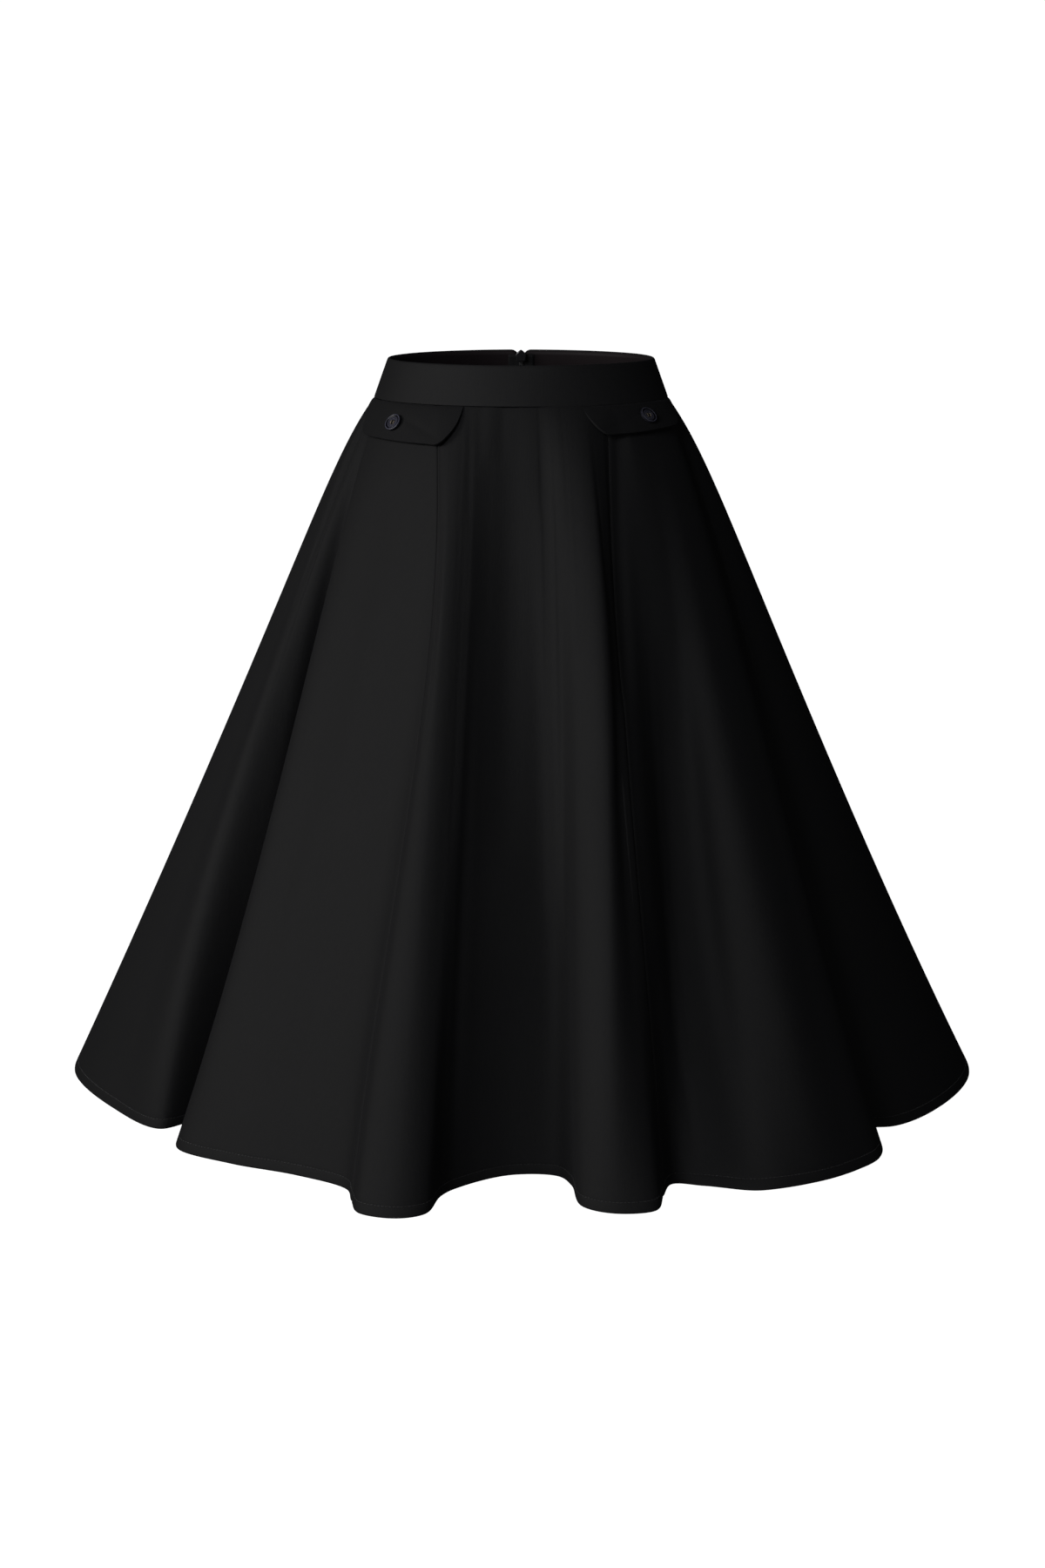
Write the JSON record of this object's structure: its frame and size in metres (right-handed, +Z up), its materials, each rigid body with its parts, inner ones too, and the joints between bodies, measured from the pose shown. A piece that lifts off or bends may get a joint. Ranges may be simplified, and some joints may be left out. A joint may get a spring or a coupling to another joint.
{
  "type": "flared midi skirt",
  "caption": "Black flared midi skirt, worn form: contoured waistband, princess-seamed front, buttoned false pocket flaps, concealed back zip, soft organ-pipe folds.",
  "frame": {"origin": "centre of the waistband's top edge, where the skirt is held at the waist", "axes": "+Z up through the open waist, -Y to the wearer's front, +X to the wearer's left"},
  "size_m": [0.8464, 0.8593, 0.6612],
  "materials": {
    "cloth": "matte woven black",
    "waistband_cloth": "matte woven black, interlined",
    "zip_tape": "knitted tape, matte",
    "button_plastic": "satin, dark charcoal with turned rings",
    "zip_metal": "black lacquer"
  },
  "bodies": {
    "skirt": {"waistband": "waistband_cloth", "front_centre_panel": "cloth", "front_side_panel_left": "cloth", "front_side_panel_right": "cloth", "back_panel_left": "cloth", "back_panel_right": "cloth", "pocket_flap_left": "cloth", "pocket_flap_right": "cloth", "button_left": "button_plastic", "button_right": "button_plastic", "zip_tape_left": "zip_tape", "zip_tape_right": "zip_tape", "zip_slider": "zip_metal"},
    "pull_tab": {"zip_pull_tab": "zip_metal"}
  },
  "joints": [
    {"name": "pull_tab_hinge", "type": "hinge", "parent": "skirt", "child": "pull_tab", "pos_m": [0, 0.0977, -0.0055], "axis": [1, 0, 0], "range_deg": [0, 165]}
  ]
}
